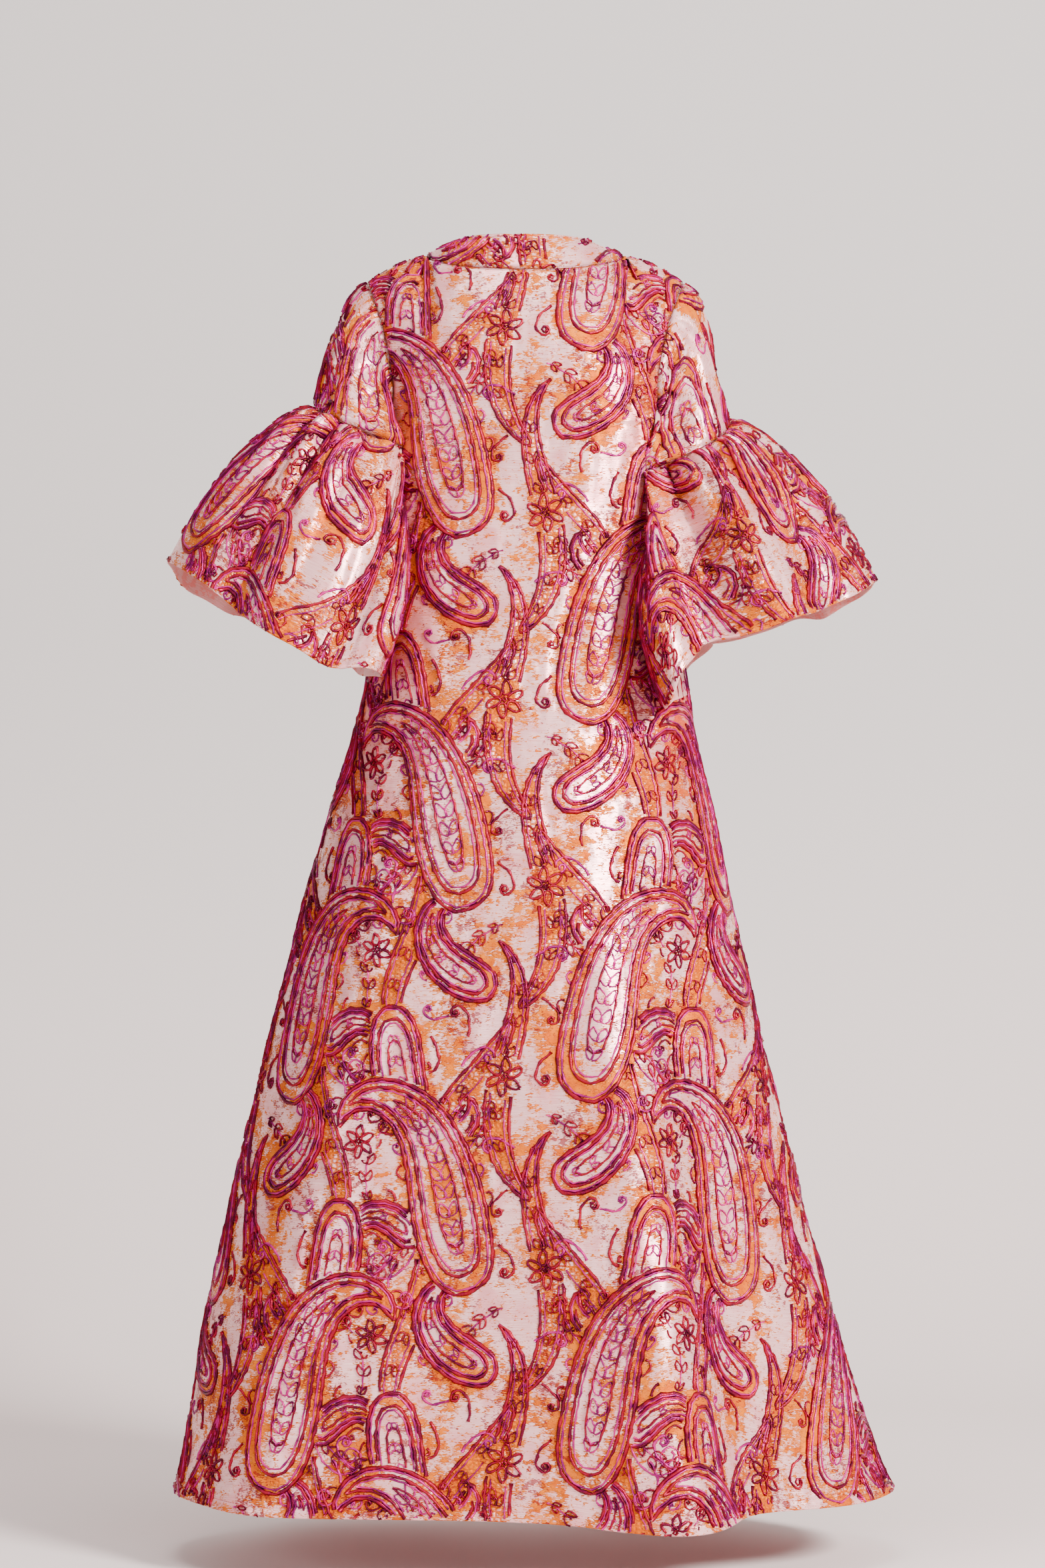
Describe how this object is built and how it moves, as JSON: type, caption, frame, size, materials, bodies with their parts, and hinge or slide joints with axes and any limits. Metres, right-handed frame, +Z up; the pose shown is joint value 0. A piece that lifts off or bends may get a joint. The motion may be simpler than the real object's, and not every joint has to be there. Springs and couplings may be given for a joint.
{
  "type": "duster coat",
  "caption": "Floor-length collarless duster coat in raised paisley brocade, open front, flared skirt, set-in sleeves with wide gathered flounces.",
  "frame": {"origin": "midway between the shoulders, level with the neck points, where the wearer's shoulders carry the coat", "axes": "+Z up, -Y the front of the coat, +X the coat's own left"},
  "size_m": [0.8635, 0.5995, 1.5016],
  "materials": {
    "brocade": "satin-ground brocade in blush and coral with raised crimson, orange and magenta metallic thread"
  },
  "bodies": {
    "root": {"back": "brocade", "front_left": "brocade", "front_right": "brocade", "neck_band": "brocade", "sleeve_left": "brocade", "sleeve_right": "brocade", "flounce_left": "brocade", "flounce_right": "brocade"}
  },
  "joints": []
}
